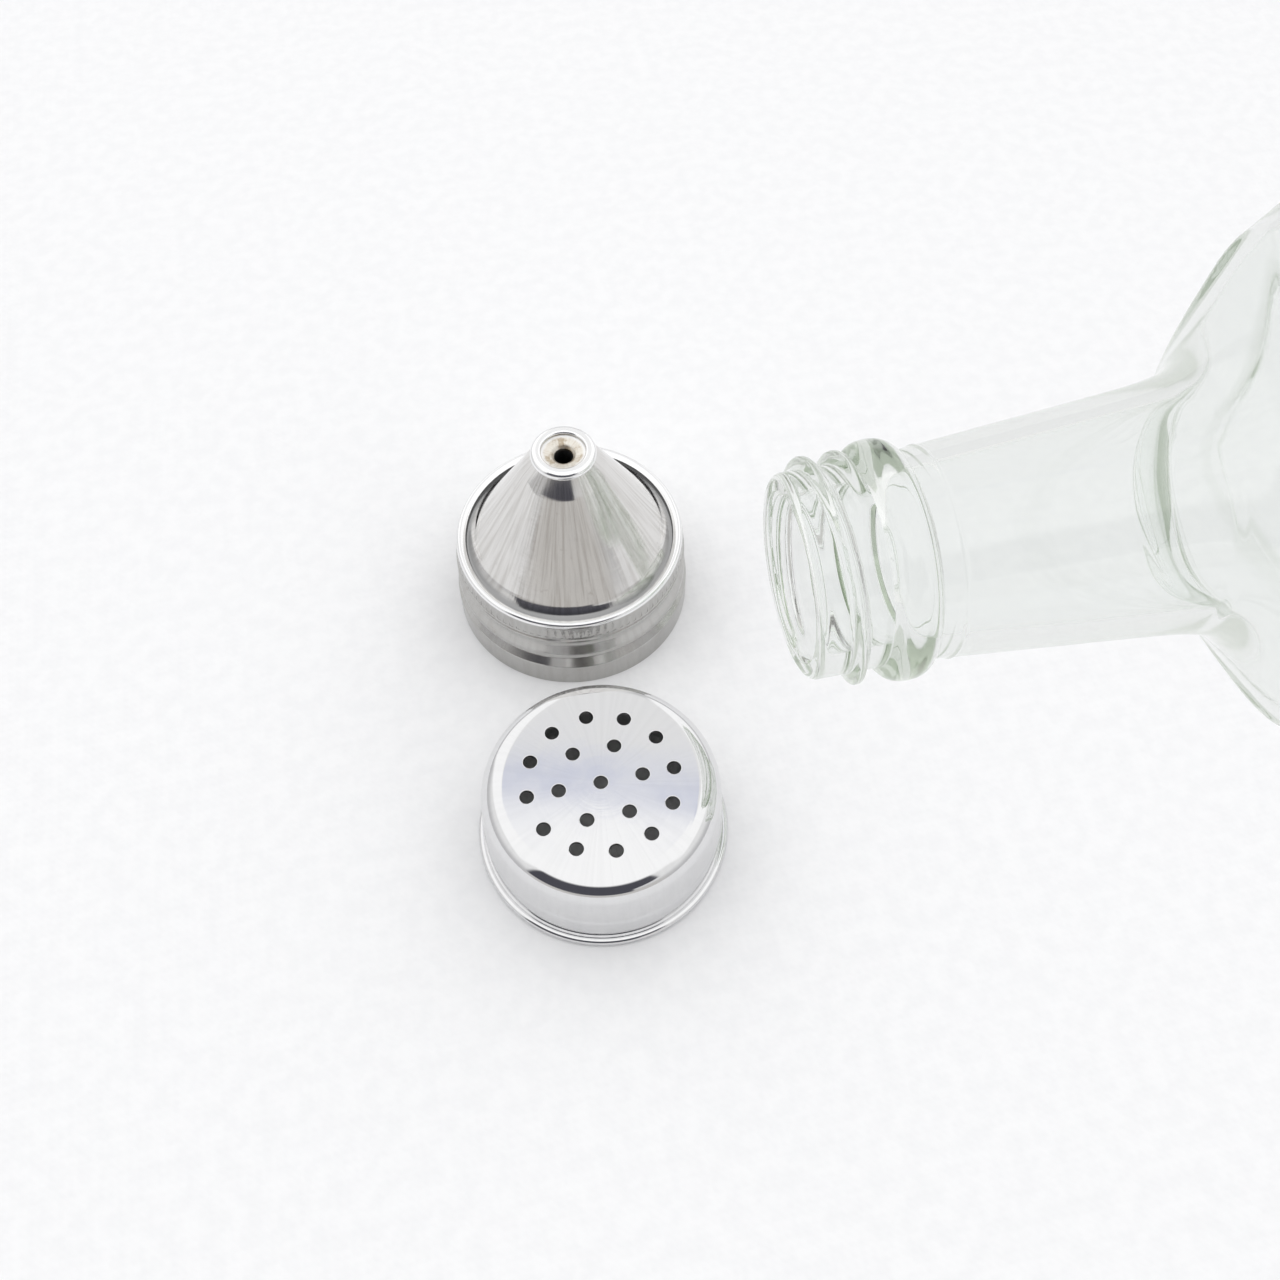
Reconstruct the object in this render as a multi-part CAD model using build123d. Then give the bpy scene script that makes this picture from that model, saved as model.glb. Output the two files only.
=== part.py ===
from build123d import *
import math
import os

# Cruet set: a square glass bottle lying on one side, and two steel screw caps
# that fit its neck, standing beside the mouth.  Millimetres, +Z up.
# +X runs along the bottle from its mouth to its base.  The origin is the
# centre of the flat side that the bottle lies on.

# ---- bottle: outside sizes, measured along its axis from the mouth ----
bottle_length = 165.0
body_half = 33.0            # half the width across the flats
body_corner = 13.0          # radius of the upright corners
shoulder_start = 62.0       # where the neck's flare meets the shoulder
shoulder_half = 25.5        # half width of the shoulder there
shoulder_corner = 10.5
shoulder_end = 79.0         # where the shoulder reaches the full width
heel_round = 6.0
neck_start = 14.0           # just behind the bead
neck_start_radius = 12.3
neck_profile = ((13.85, 30.0), (14.7, 42.0))    # (radius, place) along the widening neck
flare_start = 50.0
flare_profile = ((17.0, 50.0), (20.0, 54.0), (25.0, 57.0), (31.5, 60.0), (40.0, 63.7))
flare_lean = 0.7            # how far the inner flare falls back, in wall thicknesses

# ---- bottle: screw finish ----
mouth_radius = 12.1         # outside of the mouth, and root of the thread
lip_round = 0.9
thread_radius = 13.55       # crest of the thread
thread_pitch = 3.9
thread_first = 1.9          # middle of the ridge where it starts
thread_turns = 1.45
thread_foot = 1.9           # width of the ridge at its foot
thread_crest = 0.8
thread_sink = 0.6           # depth of the ridge's root in the glass
bead_radius = 14.2
bead_place = 11.2           # middle of the transfer bead
bead_width = 5.3
bead_round = 2.2

# ---- bottle: glass thickness ----
neck_wall = 2.6
body_wall = 3.0
base_glass = 5.0
punt_radius = 17.0          # hollow under the base
punt_depth = 2.5

# ---- screw caps ----
sheet = 0.45                # steel sheet
bead_clearance = 0.35       # steel skirt round the glass bead
crest_clearance = 0.15      # thread ring round the glass thread
ring_ridge = 0.85           # height of the ring's inner thread
ring_play = 0.03            # thread ring inside its skirt
gasket_thick = 1.2
gasket_edge_gap = 0.5       # gasket inside the bead's skirt
gasket_bore_gap = 1.2       # gasket's hole outside the bottle's bore
running_gap = 0.15          # collar over the flange of the cone

# ---- pourer ----
collar_room = 0.25          # collar's groove outside the skirt's least radius
collar_bead_proud = 0.5     # beads outside the groove
collar_foot_proud = 0.75    # foot outside the groove
collar_foot_high = 3.9      # straight foot of the collar
waist_low = 4.3             # narrow waist above it
waist_high = 4.9
low_bead_place = 5.8
groove_low = 6.6            # wide groove between the two beads
groove_high = 8.9
high_bead_place = 9.7
knurl_start = 10.2
knurl_band_proud = 0.1      # knurled band outside the groove
collar_curl = 0.9           # inward curl at the top of the collar
collar_lip = 1.35           # width of the lip that traps the cone
pourer_ring = (3.1, 9.4)    # foot and top of the thread ring
knurl_ribs = 96
knurl_low = 10.3
knurl_high = 12.2
knurl_proud = 0.16
knurl_root = 0.05           # depth of a rib's root in the sheet
cone_foot = 12.2            # height of the cone's flange
flange_room = 0.6           # flange inside the collar
flange_width = 0.9
spout_radius = 4.0
spout_straight = 1.6        # short upright stretch under the lip
spout_top = 30.4
spout_lip = 1.3             # width of the turned-in lip
nozzle_hole = 1.22
nozzle_length = 4.2
nozzle_wall = 0.7
nozzle_funnel = 0.6         # depth of the funnel round the hole
nozzle_seat_gap = 0.05      # nozzle under the lip
nozzle_chamfer = 0.4

# ---- shaker cap ----
shaker_top = 13.2
shaker_ring_wall = 0.6      # wall of the thread ring, which sets the cap's radius
shaker_edge = 2.3           # rounding between skirt and face
shaker_room = 0.3           # foot of the tapered skirt outside the skirt's least radius
shaker_curl = 0.6           # half the height of the rolled foot bead
shaker_curl_width = 0.75    # width of its straight middle
shaker_ring = (5.8, 10.6)   # foot and top of the thread ring
hole_radius = 0.87
hole_rings = ((12, 9.12), (6, 5.2), (1, 0.0))

# ---- where the pieces stand, seen from the table under the mouth ----
pourer_place = (-21.7, 26.4)
shaker_place = (-25.1, -11.3)

# worked out from the sizes above
flat_end = bottle_length - heel_round
bore_radius = neck_start_radius - neck_wall
mouth_x = -(shoulder_end + flat_end) / 2
skirt_inside = bead_radius + bead_clearance
ring_inside = thread_radius + crest_clearance
collar_groove_radius = skirt_inside + collar_room + sheet
collar_bead_radius = collar_groove_radius + collar_bead_proud
collar_foot_radius = collar_groove_radius + collar_foot_proud
cone_flange_radius = collar_groove_radius + knurl_band_proud - sheet - flange_room
cone_foot_radius = cone_flange_radius - flange_width
shaker_skirt_radius = skirt_inside + shaker_room + sheet
shaker_ring_radius = ring_inside + shaker_ring_wall
shaker_ring_share = (shaker_top - shaker_ring[1]) / shaker_top
shaker_wall = shaker_ring_radius + ring_play + sheet      # skirt's radius at the top of the ring
shaker_radius = (shaker_wall - shaker_ring_share * shaker_skirt_radius) / (1 - shaker_ring_share)
collar_top = cone_foot + sheet + running_gap + sheet


def turned(*edges):
    """Solid of revolution about Z from a closed outline drawn as (r, z)."""
    return revolve(Plane.XZ * make_face(edges), Axis.Z)


def turned_points(points):
    return turned(*Polyline(*points, close=True).edges())


def sheet_side(points, radii, shift):
    """One face of a bent sheet: its (r, z) middle line moved sideways by shift."""
    spots = [Vector(*point) for point in points]
    ways = [(b - a).normalized() for a, b in zip(spots, spots[1:])]
    moved = [spots[0] + ways[0].rotate(Axis.Z, 90) * shift]
    bends = []
    for spot, before, after, radius in zip(spots[1:], ways, ways[1:], radii):
        turn = math.radians(before.get_signed_angle(after))
        middle = (before + after).normalized().rotate(Axis.Z, 90)
        moved.append(spot + middle * (shift / math.cos(turn / 2)))
        bends.append(radius - math.copysign(shift, turn))
    moved.append(spots[-1] + ways[-1].rotate(Axis.Z, 90) * shift)
    return FilletPolyline(*moved, radius=bends)


def sheet_outline(points, radii, thickness):
    """Edges round a bent sheet of one thickness; radii are those of its middle line."""
    left = sheet_side(points, radii, thickness / 2)
    right = sheet_side(points, radii, -thickness / 2)
    ends = [Line(left @ 1, right @ 1), Line(right @ 0, left @ 0)]
    return [*left.edges(), *right.edges(), *ends]


def sheet_shell(points, radii, thickness):
    return turned(*sheet_outline(points, radii, thickness))


def thread_ridge(root, crest, first, pitch, turns, foot, tip, sink):
    """Helical ridge from radius root to radius crest, sunk into its wall."""
    way = 1 if crest > root else -1
    path = Helix(pitch=pitch, height=pitch * turns, radius=root)
    low = -way * sink
    high = crest - root
    section = Polyline(
        (low, -foot / 2), (high, -tip / 2), (high, tip / 2), (low, foot / 2), close=True
    )
    frame = Plane(path @ 0, x_dir=(1, 0, 0), z_dir=path % 0)
    return Pos(0, 0, first) * sweep(make_face(frame * section), path=path, is_frenet=True)


def squared(half, corner, place):
    return Pos(0, 0, place) * RectangleRounded(2 * half, 2 * half, corner)


def bottle_form(wall, neck_inset, end):
    """The bottle's body, along Z from its mouth, with its surface moved in by wall."""
    rise = (body_half - shoulder_half) / (shoulder_end - shoulder_start)
    corner_rise = (body_corner - shoulder_corner) / (shoulder_end - shoulder_start)
    back = flare_start - shoulder_start
    front_half = shoulder_half + back * rise
    front_corner = shoulder_corner + back * corner_rise
    narrow = squared(front_half - wall, front_corner - wall, flare_start)
    wide = squared(body_half - wall, body_corner - wall, shoulder_end)
    prism = loft([narrow, wide], ruled=True) + extrude(wide, end - shoulder_end)
    # the neck and the steep flare that opens into the shoulder
    last_place = flare_profile[-1][1]
    points = [(neck_start_radius - neck_inset, neck_start)]
    points += [(radius - neck_inset, place) for radius, place in neck_profile]
    for radius, place in flare_profile:
        share = (place - flare_start) / (last_place - flare_start)
        inset = neck_inset + (wall - neck_inset) * share
        points.append((radius - inset, place + flare_lean * wall * share))
    flare = Spline(*points)
    side = (flare @ 1).X
    outline = [
        flare,
        Line(flare @ 1, (side, end)),
        Line((side, end), (0, end)),
        Line((0, end), (0, neck_start)),
        Line((0, neck_start), flare @ 0),
    ]
    turned_form = turned(*outline)
    front = Pos(0, 0, (neck_start + flare_start) / 2) * Cylinder(side, flare_start - neck_start)
    return (turned_form & prism) + (turned_form & front)


def bottle_solid():
    outside = bottle_form(0.0, 0.0, bottle_length)
    heel = outside.faces().sort_by(Axis.Z)[-1].edges()
    outside = fillet(heel, heel_round)
    finish_end = neck_start + 1
    finish = turned_points([(0, 0), (mouth_radius, 0), (mouth_radius, finish_end), (0, finish_end)])
    lip = finish.edges().filter_by(GeomType.CIRCLE).sort_by(Axis.Z)[0]
    finish = fillet(lip, lip_round)
    bead = Pos(0, 0, bead_place) * Cylinder(bead_radius, bead_width)
    bead = fillet(bead.edges().filter_by(GeomType.CIRCLE), bead_round)
    ridge = thread_ridge(
        mouth_radius, thread_radius, thread_first, thread_pitch, thread_turns,
        thread_foot, thread_crest, thread_sink,
    )
    inside = bottle_form(body_wall, neck_wall, bottle_length - base_glass)
    bore_end = neck_start + 2
    bore = turned_points([(0, -1), (bore_radius, -1), (bore_radius, bore_end), (0, bore_end)])
    sphere = (punt_radius ** 2 + punt_depth ** 2) / (2 * punt_depth)
    punt = Pos(0, 0, bottle_length - punt_depth + sphere) * Sphere(sphere)
    return outside + finish + bead + ridge - inside - bore - punt


def thread_ring(outer, low, high):
    """Ring with an inner thread for the bottle's neck, held inside a steel skirt."""
    band = turned_points([(ring_inside, low), (outer, low), (outer, high), (ring_inside, high)])
    turns = (high - low - thread_foot) / thread_pitch
    ridge = thread_ridge(
        ring_inside, ring_inside - ring_ridge, low + thread_foot / 2, thread_pitch, turns,
        thread_foot, thread_crest, (outer - ring_inside) / 2,
    )
    return band + ridge


def collar_solid():
    half = sheet / 2
    foot = collar_foot_radius - half
    bead = collar_bead_radius - half
    groove = collar_groove_radius - half
    knurl = groove + knurl_band_proud
    points = [
        (foot, 0), (foot, collar_foot_high), (groove, waist_low), (groove, waist_high),
        (bead, low_bead_place), (groove, groove_low), (groove, groove_high), (bead, high_bead_place),
        (knurl, knurl_start), (knurl, collar_top - half), (knurl - collar_lip, collar_top - half),
    ]
    radii = [0.3, 0.3, 0.3, 0.5, 0.5, 0.5, 0.4, 0.3, collar_curl - half]
    shell = sheet_shell(points, radii, sheet)
    rib = Pos(knurl + half - knurl_root, 0, (knurl_low + knurl_high) / 2) * Cylinder(
        knurl_proud + knurl_root, knurl_high - knurl_low
    )
    return shell + [rib.rotate(Axis.Z, 360 * n / knurl_ribs) for n in range(knurl_ribs)]


def cone_solid():
    half = sheet / 2
    spout = spout_radius - half
    points = [
        (cone_flange_radius - half, cone_foot + half), (cone_foot_radius - half, cone_foot + half),
        (spout, spout_top - spout_straight), (spout, spout_top - half),
        (spout_radius - spout_lip, spout_top - half),
    ]
    return sheet_shell(points, [0.4, 1.2, 0.45], sheet)


def nozzle_solid():
    top = spout_top - sheet - nozzle_seat_gap
    outer = spout_radius - sheet - ring_play
    stem = nozzle_hole + nozzle_wall
    points = [
        (nozzle_hole, top - nozzle_length), (stem, top - nozzle_length),
        (stem, top - nozzle_funnel - nozzle_wall), (outer, top - nozzle_funnel - nozzle_chamfer),
        (outer, top - nozzle_chamfer), (outer - nozzle_chamfer, top),
        (outer - nozzle_wall, top), (nozzle_hole, top - nozzle_funnel),
    ]
    return turned_points(points)


def gasket_solid():
    outer = skirt_inside - gasket_edge_gap
    inner = bore_radius + gasket_bore_gap
    under = cone_foot - gasket_thick
    return turned_points([(inner, under), (outer, under), (outer, cone_foot), (inner, cone_foot)])


def shaker_solid():
    half = sheet / 2
    skirt = shaker_skirt_radius - half
    upper = shaker_radius - half
    roll_edge = skirt + shaker_curl_width
    points = [
        (roll_edge, 2 * shaker_curl - half), (roll_edge, half), (skirt, half),
        (upper, shaker_top - half), (0, shaker_top - half),
    ]
    radii = [0.35, 0.35, shaker_edge - half]
    shell = sheet_shell(points, radii, sheet)
    holes = []
    for count, ring in hole_rings:
        for n in range(count):
            turn = 2 * math.pi * n / count
            place = Pos(ring * math.cos(turn), ring * math.sin(turn), shaker_top)
            holes.append(place * Cylinder(hole_radius, 4 * sheet))
    return shell - holes


def main():
    os.makedirs("parts", exist_ok=True)
    lay = Pos(mouth_x, 0, body_half) * Rot(0, 90, 0)
    pourer = Pos(mouth_x + pourer_place[0], pourer_place[1], 0)
    shaker = Pos(mouth_x + shaker_place[0], shaker_place[1], 0)
    pourer_ring_radius = collar_groove_radius - sheet - ring_play
    pieces = {
        "bottle": lay * bottle_solid(),
        "pourer_collar": pourer * collar_solid(),
        "pourer_thread_ring": pourer * thread_ring(pourer_ring_radius, *pourer_ring),
        "pouring_cone": pourer * cone_solid(),
        "spout_nozzle": pourer * nozzle_solid(),
        "pourer_gasket": pourer * gasket_solid(),
        "shaker_cap": shaker * shaker_solid(),
        "shaker_thread_ring": shaker * thread_ring(shaker_ring_radius, *shaker_ring),
    }
    for name, shape in pieces.items():
        print(name, "valid", shape.is_valid, "solids", len(shape.solids()), "volume", round(shape.volume, 1))
        export_step(shape, f"parts/{name}.step")


main()
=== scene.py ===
import math
import bmesh
import bpy
from mathutils import Matrix, Vector


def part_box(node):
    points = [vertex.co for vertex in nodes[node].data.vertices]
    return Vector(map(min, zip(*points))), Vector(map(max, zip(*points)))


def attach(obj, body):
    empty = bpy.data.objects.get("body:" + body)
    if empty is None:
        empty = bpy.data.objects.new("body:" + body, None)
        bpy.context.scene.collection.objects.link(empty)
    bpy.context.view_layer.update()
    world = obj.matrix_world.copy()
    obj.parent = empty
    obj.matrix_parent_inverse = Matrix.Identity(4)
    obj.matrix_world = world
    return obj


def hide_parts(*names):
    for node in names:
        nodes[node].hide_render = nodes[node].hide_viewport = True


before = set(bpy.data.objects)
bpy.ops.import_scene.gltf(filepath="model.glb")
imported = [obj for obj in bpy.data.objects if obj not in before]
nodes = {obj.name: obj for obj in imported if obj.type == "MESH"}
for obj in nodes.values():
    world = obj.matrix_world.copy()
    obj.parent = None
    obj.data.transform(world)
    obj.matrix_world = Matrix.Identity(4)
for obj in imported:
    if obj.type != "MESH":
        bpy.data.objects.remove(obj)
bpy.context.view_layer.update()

mm = 0.001

# where each piece stands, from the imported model
bottleLow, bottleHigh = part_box("bottle")
collarLow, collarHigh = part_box("pourer_collar")
coneLow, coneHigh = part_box("pouring_cone")
shakerLow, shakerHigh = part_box("shaker_cap")
nozzleLow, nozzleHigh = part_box("spout_nozzle")
mouth = Vector((bottleLow.x, 0, (bottleLow.z + bottleHigh.z) / 2))
pourerFoot = Vector(((collarLow.x + collarHigh.x) / 2, (collarLow.y + collarHigh.y) / 2, 0))
shakerFoot = Vector(((shakerLow.x + shakerHigh.x) / 2, (shakerLow.y + shakerHigh.y) / 2, 0))
print("frame loaded:", len(nodes), "nodes")


# short forms for shader nodes

def addNode(tree, kind, inputs=None, **settings):
    node = tree.nodes.new(kind)
    for name, value in settings.items():
        setattr(node, name, value)
    for name, value in (inputs or {}).items():
        socket = node.inputs[name]
        if isinstance(value, bpy.types.NodeSocket):
            tree.links.new(value, socket)
        else:
            socket.default_value = value
    return node


def mathNode(tree, operation, *values):
    return addNode(tree, "ShaderNodeMath", dict(enumerate(values)), operation=operation).outputs[0]


def vectorNode(tree, operation, *values):
    return addNode(tree, "ShaderNodeVectorMath", dict(enumerate(values)), operation=operation).outputs[0]


def product(tree, first, *others):
    for other in others:
        first = mathNode(tree, "MULTIPLY", first, other)
    return first


# a soft step from one end of the span to the other
def rampNode(tree, value, span, toLow=0.0, toHigh=1.0):
    return addNode(tree, "ShaderNodeMapRange", {
        "Value": value, "From Min": span[0], "From Max": span[1], "To Min": toLow, "To Max": toHigh,
    }, interpolation_type="SMOOTHSTEP").outputs[0]


def noiseNode(tree, vector, scale, detail, roughness=0.5):
    return addNode(tree, "ShaderNodeTexNoise", {
        "Vector": vector, "Scale": scale, "Detail": detail, "Roughness": roughness,
    }).outputs["Fac"]


# inputs 0, 6 and 7 are the share and the two colours
def mixColour(tree, share, first, second):
    return addNode(tree, "ShaderNodeMix", {0: share, 6: first, 7: second}, data_type="RGBA").outputs[2]


def newGroup(name, inputs, outputs):
    group = bpy.data.node_groups.new(name, "ShaderNodeTree")
    for socketName, kind, value in inputs:
        socket = group.interface.new_socket(socketName, in_out="INPUT", socket_type=kind)
        socket.default_value = value
    for socketName, kind in outputs:
        group.interface.new_socket(socketName, in_out="OUTPUT", socket_type=kind)
    return group, group.nodes.new("NodeGroupInput").outputs, group.nodes.new("NodeGroupOutput").inputs


# marks on spun sheet: the scales are per metre, and a small factor makes the noise slow that way
spun = {
    "turnedRise": 0.8, "turnedRound": 0.0006, "turnedDetail": 3.0, "drawnRise": 0.07, "drawnRound": 0.014,
    "drawnScale": 1500.0, "rubbedScale": 190.0, "soilScale": 700.0, "detail": 4.0, "rough": 0.6,
    "soilRough": 0.7,
}


# fine turning lines round an upright axis, lines drawn up the sheet, and rubbed patches
def makeSpunLines():
    group, given, result = newGroup("spunLines", [
        ("Vector", "NodeSocketVector", (0, 0, 0)), ("Axis", "NodeSocketVector", (0, 0, 0)),
        ("Line Scale", "NodeSocketFloat", 2600.0), ("Drawn Share", "NodeSocketFloat", 0.3),
    ], [
        ("Height", "NodeSocketFloat"), ("Streaks", "NodeSocketFloat"),
        ("Rubbed", "NodeSocketFloat"), ("Soil", "NodeSocketFloat"),
    ])
    local = vectorNode(group, "SUBTRACT", given["Vector"], given["Axis"])
    split = addNode(group, "ShaderNodeSeparateXYZ", {0: local}).outputs
    flat = addNode(group, "ShaderNodeCombineXYZ", {"X": split["X"], "Y": split["Y"], "Z": 0.0}).outputs[0]
    reach = addNode(group, "ShaderNodeVectorMath", {0: flat}, operation="LENGTH").outputs["Value"]
    facing = vectorNode(group, "NORMALIZE", flat)
    # lines left by turning: quick along the profile, slow round the axis
    profile = mathNode(group, "ADD", reach, mathNode(group, "MULTIPLY", split["Z"], spun["turnedRise"]))
    turned = vectorNode(group, "MULTIPLY", facing, (spun["turnedRound"], spun["turnedRound"], 0.0))
    raised = addNode(group, "ShaderNodeCombineXYZ", {"X": 0.0, "Y": 0.0, "Z": profile}).outputs[0]
    around = vectorNode(group, "ADD", turned, raised)
    lines = noiseNode(group, around, given["Line Scale"], spun["turnedDetail"], spun["rough"])
    # lines drawn up the sheet: quick round the axis, slow along the profile
    wide = vectorNode(group, "MULTIPLY", facing, (spun["drawnRound"], spun["drawnRound"], 0.0))
    slowRise = mathNode(group, "MULTIPLY", split["Z"], spun["drawnRise"])
    slow = addNode(group, "ShaderNodeCombineXYZ", {"X": 0.0, "Y": 0.0, "Z": slowRise}).outputs[0]
    along = vectorNode(group, "ADD", wide, slow)
    drawn = noiseNode(group, along, spun["drawnScale"], spun["detail"], spun["rough"])
    rubbed = noiseNode(group, local, spun["rubbedScale"], spun["detail"], spun["rough"])
    soil = noiseNode(group, local, spun["soilScale"], spun["detail"], spun["soilRough"])
    height = mathNode(group, "ADD", lines, mathNode(group, "MULTIPLY", drawn, given["Drawn Share"]))
    for name, value in (("Height", height), ("Streaks", drawn), ("Rubbed", rubbed), ("Soil", soil)):
        group.links.new(value, result[name])
    return group


spunLines = makeSpunLines()


# moulded plastic and rubber: a soft grain with dull patches
def makeMouldGrain():
    group, given, result = newGroup("mouldGrain", [
        ("Vector", "NodeSocketVector", (0, 0, 0)), ("Grain Scale", "NodeSocketFloat", 3000.0),
    ], [("Height", "NodeSocketFloat"), ("Dull", "NodeSocketFloat")])
    grain = noiseNode(group, given["Vector"], given["Grain Scale"], 2.0)
    dull = noiseNode(group, given["Vector"], 220.0, 4.0)
    group.links.new(grain, result["Height"])
    group.links.new(dull, result["Dull"])
    return group


mouldGrain = makeMouldGrain()


def newMaterial(name):
    material = bpy.data.materials.new(name)
    material.use_nodes = True
    tree = material.node_tree
    shader = tree.nodes["Principled BSDF"]
    place = addNode(tree, "ShaderNodeTexCoord").outputs["Object"]
    return material, tree, shader, place


# materials

# paintedRimHighlight: the height where the painted highlight on the rim or lip starts, and its grey
# paintedSeamShade: the height where the painted shade in the seam or recess ends, and its grey
steelLooks = {
    "collar": {
        "tint": (0.5, 0.495, 0.48), "streak": (0.46, 0.45, 0.435), "soiled": (0.38, 0.36, 0.33),
        "clean": 0.58, "rough": 0.12, "roughSpread": 0.1, "lines": 2400.0, "drawn": 0.1, "bump": 0.09,
        "axis": pourerFoot, "paintedRimHighlight": (collarHigh.z - 0.62 * mm, 0.88), "paintedSeamShade": (0.0, 0.5),
    },
    "cone": {
        "tint": (0.75, 0.74, 0.725), "streak": (0.6, 0.585, 0.565), "soiled": (0.5, 0.48, 0.45),
        "clean": 0.6, "rough": 0.08, "roughSpread": 0.1, "lines": 1500.0, "drawn": 0.6, "bump": 0.08,
        "axis": pourerFoot,
        "paintedRimHighlight": (coneHigh.z - 1.25 * mm, 0.9), "paintedSeamShade": (coneLow.z + 1.3 * mm, 0.3),
    },
    "shaker": {
        "tint": (0.76, 0.76, 0.765), "streak": (0.74, 0.74, 0.745), "soiled": (0.68, 0.675, 0.67),
        "clean": 0.64, "rough": 0.05, "roughSpread": 0.06, "lines": 1200.0, "drawn": 0.0, "bump": 0.012,
        "axis": shakerFoot, "paintedRimHighlight": (shakerHigh.z + mm, 0.76), "paintedSeamShade": (0.0, 0.5),
    },
    "nozzle": {
        "tint": (0.8, 0.77, 0.71), "streak": (0.68, 0.62, 0.53), "soiled": (0.4, 0.31, 0.2),
        "clean": 0.46, "rough": 0.3, "roughSpread": 0.2, "lines": 3600.0, "drawn": 0.4, "bump": 0.12,
        "axis": pourerFoot,
        "paintedRimHighlight": (nozzleHigh.z - 0.16 * mm, 0.9), "paintedSeamShade": (nozzleHigh.z - 0.7 * mm, 0.3),
    },
}
# wear of the steel, with the soft edges of the painted rim highlight and the painted seam shade
steelWearAndPaintedLight = {
    "streakSpan": (0.4, 0.68), "soilSoft": 0.2, "soilMost": 0.8, "rimSoft": 0.15 * mm, "seamSoft": 0.7 * mm,
    "rubbedSpan": (0.3, 0.7), "depth": 0.2 * mm,
}


def steelMaterial(name):
    look = steelLooks[name]
    material, tree, shader, place = newMaterial(name + "Steel")
    marks = addNode(tree, "ShaderNodeGroup", node_tree=spunLines)
    tree.links.new(place, marks.inputs["Vector"])
    marks.inputs["Axis"].default_value = look["axis"]
    marks.inputs["Line Scale"].default_value = look["lines"]
    marks.inputs["Drawn Share"].default_value = look["drawn"]
    streaks = rampNode(tree, marks.outputs["Streaks"], steelWearAndPaintedLight["streakSpan"])
    colour = mixColour(tree, streaks, (*look["tint"], 1), (*look["streak"], 1))
    soilSpan = (look["clean"], look["clean"] + steelWearAndPaintedLight["soilSoft"])
    soilShare = rampNode(tree, marks.outputs["Soil"], soilSpan, 0.0, steelWearAndPaintedLight["soilMost"])
    colour = mixColour(tree, soilShare, colour, (*look["soiled"], 1))
    # painted highlight: the rim or lip is coloured bright from this height up
    edge, bright = look["paintedRimHighlight"]
    height = addNode(tree, "ShaderNodeSeparateXYZ", {0: place}).outputs["Z"]
    paintedRimHighlight = rampNode(tree, height, (edge, edge + steelWearAndPaintedLight["rimSoft"]))
    colour = mixColour(tree, paintedRimHighlight, colour, (bright, bright, bright, 1))
    # painted shade: the colour is darkened below this height, in the seam and the recess
    seam, dull = look["paintedSeamShade"]
    seamShadeShare = rampNode(tree, height, (seam, seam - steelWearAndPaintedLight["seamSoft"]))
    colour = mixColour(tree, seamShadeShare, colour, (dull, dull, dull, 1))
    roughest = look["rough"] + look["roughSpread"]
    rough = rampNode(tree, marks.outputs["Rubbed"], steelWearAndPaintedLight["rubbedSpan"], look["rough"], roughest)
    bump = addNode(tree, "ShaderNodeBump", {
        "Height": marks.outputs["Height"], "Strength": look["bump"], "Distance": steelWearAndPaintedLight["depth"],
    })
    tree.links.new(colour, shader.inputs["Base Color"])
    tree.links.new(rough, shader.inputs["Roughness"])
    tree.links.new(bump.outputs[0], shader.inputs["Normal"])
    shader.inputs["Metallic"].default_value = 1.0
    return material


collarSteel = steelMaterial("collar")
coneSteel = steelMaterial("cone")
shakerSteel = steelMaterial("shaker")
nozzleSteel = steelMaterial("nozzle")

glassLook = {
    "tint": (0.985, 0.995, 0.99), "index": 1.5, "thickTint": (0.68, 0.74, 0.66), "density": 14.0,
    "deepTint": (0.8, 0.83, 0.78), "bounces": 2.5, "smearScale": 70.0, "smearSpan": (0.35, 0.75),
    "smearRough": 0.03, "rippleScale": 55.0, "ripple": 0.25, "rippleDepth": 0.4 * mm,
}


def glassMaterial():
    material, tree, shader, place = newMaterial("bottleGlass")
    shader.inputs["Base Color"].default_value = (*glassLook["tint"], 1)
    shader.inputs["Transmission Weight"].default_value = 1.0
    shader.inputs["IOR"].default_value = glassLook["index"]
    smear = noiseNode(tree, place, glassLook["smearScale"], 3.0)
    rough = rampNode(tree, smear, glassLook["smearSpan"], 0.0, glassLook["smearRough"])
    ripple = noiseNode(tree, place, glassLook["rippleScale"], 1.0)
    bump = addNode(tree, "ShaderNodeBump", {
        "Height": ripple, "Strength": glassLook["ripple"], "Distance": glassLook["rippleDepth"],
    })
    tree.links.new(rough, shader.inputs["Roughness"])
    tree.links.new(bump.outputs[0], shader.inputs["Normal"])
    # light that has bounced inside many times is let out, so thick glass stays clear
    path = addNode(tree, "ShaderNodeLightPath").outputs
    tired = mathNode(tree, "GREATER_THAN", path["Glossy Depth"], glassLook["bounces"])
    clear = addNode(tree, "ShaderNodeBsdfTransparent", {"Color": (*glassLook["deepTint"], 1)})
    blend = addNode(tree, "ShaderNodeMixShader", {0: tired, 1: shader.outputs[0], 2: clear.outputs[0]})
    absorb = addNode(tree, "ShaderNodeVolumeAbsorption", {
        "Color": (*glassLook["thickTint"], 1), "Density": glassLook["density"],
    })
    tree.links.new(blend.outputs[0], tree.nodes["Material Output"].inputs["Surface"])
    tree.links.new(absorb.outputs[0], tree.nodes["Material Output"].inputs["Volume"])
    return material


bottleGlass = glassMaterial()

mouldedLooks = {
    "linerPlastic": {"tint": (0.8, 0.8, 0.78), "shade": (0.7, 0.7, 0.67), "rough": 0.4,
                     "grain": 3200.0},
    "gasketSilicone": {"tint": (0.78, 0.78, 0.75), "shade": (0.66, 0.66, 0.63), "rough": 0.5,
                       "grain": 4200.0},
}
mouldedWear = {
    "dullSpan": (0.35, 0.75), "roughSpan": (0.3, 0.7), "roughSpread": 0.15, "bump": 0.2, "depth": 0.1 * mm,
    "softLight": 0.1,
}


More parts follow.
